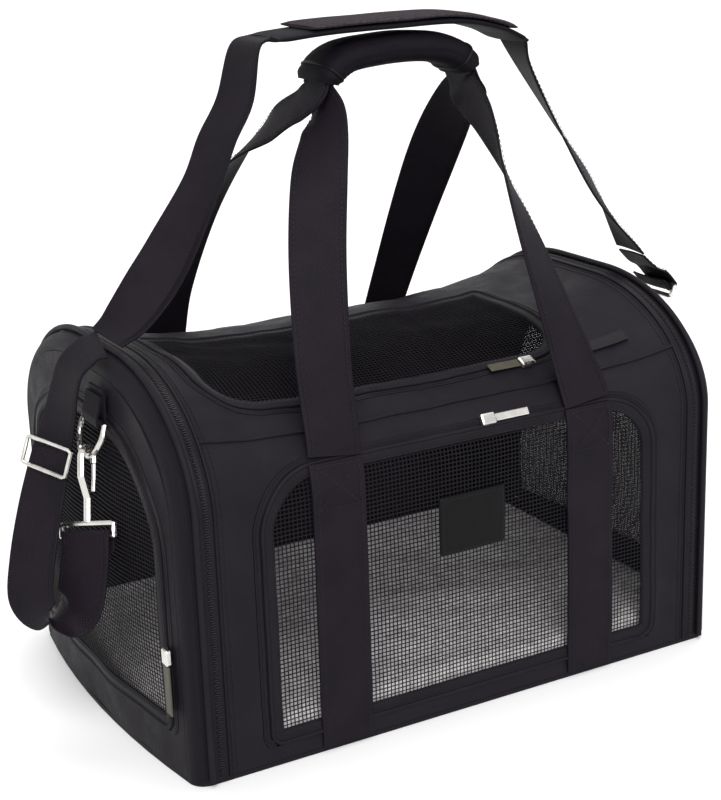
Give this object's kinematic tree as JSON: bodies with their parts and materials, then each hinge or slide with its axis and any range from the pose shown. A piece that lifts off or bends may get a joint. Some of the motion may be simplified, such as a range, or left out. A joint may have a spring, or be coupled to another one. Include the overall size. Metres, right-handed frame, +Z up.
{
  "type": "pet carrier bag",
  "caption": "Soft-sided pet carrier bag with mesh lid, window and end doors, two carry handles joined by a padded wrap, and a padded shoulder strap on snap hooks.",
  "frame": {"origin": "middle of the underside of the sewn base, on the floor", "axes": "+X along the length, towards the end with the taut strap; -Y out of the window side; +Z up"},
  "size_m": [0.5384, 0.2935, 0.4597],
  "materials": {
    "cloth": "satin woven polyester",
    "mesh": "open square mesh",
    "webbing": "ribbed webbing",
    "pad_cloth": "coarse woven padding",
    "fleece": "soft pile",
    "board": "matte",
    "nickel": "polished",
    "rubber": "matte",
    "zip_coil": "fine coil"
  },
  "bodies": {
    "shell": {"back_panel": "cloth", "base_board": "board", "base_panel": "cloth", "fleece_pad": "fleece", "front_door_zip": "zip_coil", "front_panel": "cloth", "front_strap_left": "webbing", "front_strap_right": "webbing", "left_collapse_zip": "zip_coil", "left_d_ring": "nickel", "left_door_zip": "zip_coil", "left_end_band": "cloth", "left_end_panel": "cloth", "left_hoop": "cloth", "left_ring_tab": "webbing", "left_snap_hook": "nickel", "left_strap_end": "webbing", "lid_zip": "zip_coil", "rear_strap_left": "webbing", "rear_strap_right": "webbing", "right_collapse_zip": "zip_coil", "right_d_ring": "nickel", "right_door_zip": "zip_coil", "right_end_band": "cloth", "right_end_panel": "cloth", "right_hoop": "cloth", "right_ring_tab": "webbing", "right_snap_hook": "nickel", "right_strap_end": "webbing", "roof_panel": "cloth", "tri_glide": "nickel", "zip_end_tab": "cloth"},
    "lid": {"lid_frame": "cloth", "lid_mesh": "mesh"},
    "front_door": {"front_door_frame": "cloth", "front_door_mesh": "mesh", "label_patch": "cloth"},
    "left_door": {"left_door_frame": "cloth", "left_door_mesh": "mesh"},
    "right_door": {"right_door_frame": "cloth", "right_door_mesh": "mesh"},
    "front_handle": {"front_handle_webbing": "webbing", "handle_wrap": "cloth"},
    "rear_handle": {"rear_handle_webbing": "webbing"},
    "shoulder_strap": {"shoulder_pad": "pad_cloth", "shoulder_strap_left": "webbing", "shoulder_strap_right": "webbing"},
    "front_slider": {"front_door_slider": "nickel"},
    "front_pull": {"front_door_pull": "nickel"},
    "lid_slider": {"lid_slider": "nickel"},
    "lid_pull": {"lid_pull": "rubber"},
    "left_door_slider": {"left_door_slider": "nickel"},
    "left_door_pull": {"left_door_pull": "rubber"},
    "right_door_slider": {"right_door_slider": "nickel"},
    "right_door_pull": {"right_door_pull": "rubber"},
    "left_collapse_slider": {"left_collapse_slider": "nickel"},
    "right_collapse_slider": {"right_collapse_slider": "nickel"},
    "left_hook_gate": {"left_hook_gate": "nickel"},
    "right_hook_gate": {"right_hook_gate": "nickel"}
  },
  "joints": [
    {"name": "lid_swing", "type": "hinge", "parent": "shell", "child": "lid", "pos_m": [0, 0.0252, 0.2385], "axis": [1, 0, 0], "range_deg": [0, 70]},
    {"name": "front_door_swing", "type": "hinge", "parent": "shell", "child": "front_door", "pos_m": [0, -0.1401, 0.0136], "axis": [-1, 0, 0], "range_deg": [0, 75], "deforming": ["fleece_pad"]},
    {"name": "left_door_swing", "type": "hinge", "parent": "shell", "child": "left_door", "pos_m": [-0.2088, 0, 0.0298], "axis": [0, -1, 0], "range_deg": [-70, 0]},
    {"name": "right_door_swing", "type": "hinge", "parent": "shell", "child": "right_door", "pos_m": [0.2088, 0, 0.0298], "axis": [0, 1, 0], "range_deg": [-70, 0]},
    {"name": "front_handle_fold", "type": "hinge", "parent": "shell", "child": "front_handle", "pos_m": [0, -0.142, 0.2012], "axis": [1, 0, 0], "range_deg": [0, 150]},
    {"name": "rear_handle_fold", "type": "hinge", "parent": "shell", "child": "rear_handle", "pos_m": [0, 0.142, 0.2012], "axis": [-1, 0, 0], "range_deg": [0, 150], "deforming": ["rear_handle_webbing"]},
    {"name": "shoulder_strap_swing", "type": "hinge", "parent": "shell", "child": "shoulder_strap", "pos_m": [0, 0, 0.268], "axis": [-1, 0, 0], "range_deg": [-85, 85], "deforming": ["shoulder_strap_left", "shoulder_strap_right"]},
    {"name": "front_slider_slide", "type": "slide", "parent": "shell", "child": "front_slider", "axis": [1, 0, 0], "range_m": [-0.085, 0.028]},
    {"name": "front_pull_swing", "type": "hinge", "parent": "front_slider", "child": "front_pull", "pos_m": [0.0235, -0.13952, 0.20492], "axis": [0, -0.527, -0.8498], "range_deg": [0, 100]},
    {"name": "lid_slider_slide", "type": "slide", "parent": "shell", "child": "lid_slider", "axis": [1, 0, 0], "range_m": [-0.12, 0]},
    {"name": "lid_pull_swing", "type": "hinge", "parent": "lid_slider", "child": "lid_pull", "pos_m": [0.06344, -0.10774, 0.22833], "axis": [0, 0.9127, 0.4087], "range_deg": [0, 100]},
    {"name": "left_slider_slide", "type": "slide", "parent": "shell", "child": "left_door_slider", "axis": [0, 0, 1], "range_m": [-0.03, 0.055]},
    {"name": "left_pull_swing", "type": "hinge", "parent": "left_door_slider", "child": "left_door_pull", "pos_m": [-0.21429, -0.12055, 0.0795], "axis": [0, 1, 0], "range_deg": [0, 100]},
    {"name": "left_collapse_slide", "type": "slide", "parent": "shell", "child": "left_collapse_slider", "axis": [0, 0, 1], "range_m": [-0.03, 0.12]},
    {"name": "right_slider_slide", "type": "slide", "parent": "shell", "child": "right_door_slider", "axis": [0, 0, 1], "range_m": [-0.03, 0.055]},
    {"name": "right_pull_swing", "type": "hinge", "parent": "right_door_slider", "child": "right_door_pull", "pos_m": [0.21429, -0.12055, 0.0795], "axis": [0, -1, 0], "range_deg": [0, 100]},
    {"name": "right_collapse_slide", "type": "slide", "parent": "shell", "child": "right_collapse_slider", "axis": [0, 0, 1], "range_m": [-0.03, 0.12]},
    {"name": "left_gate_swing", "type": "hinge", "parent": "shell", "child": "left_hook_gate", "pos_m": [-0.22529, -0.04276, 0.17558], "axis": [0.5496, -0.8173, 0.1733], "range_deg": [0, 15], "stiffness_Nm_per_rad": 0.005, "springref_deg": -11.46},
    {"name": "right_gate_swing", "type": "hinge", "parent": "shell", "child": "right_hook_gate", "pos_m": [0.23319, -0.02, 0.21972], "axis": [0, -1, 0], "range_deg": [0, 15], "stiffness_Nm_per_rad": 0.005, "springref_deg": -11.46}
  ]
}
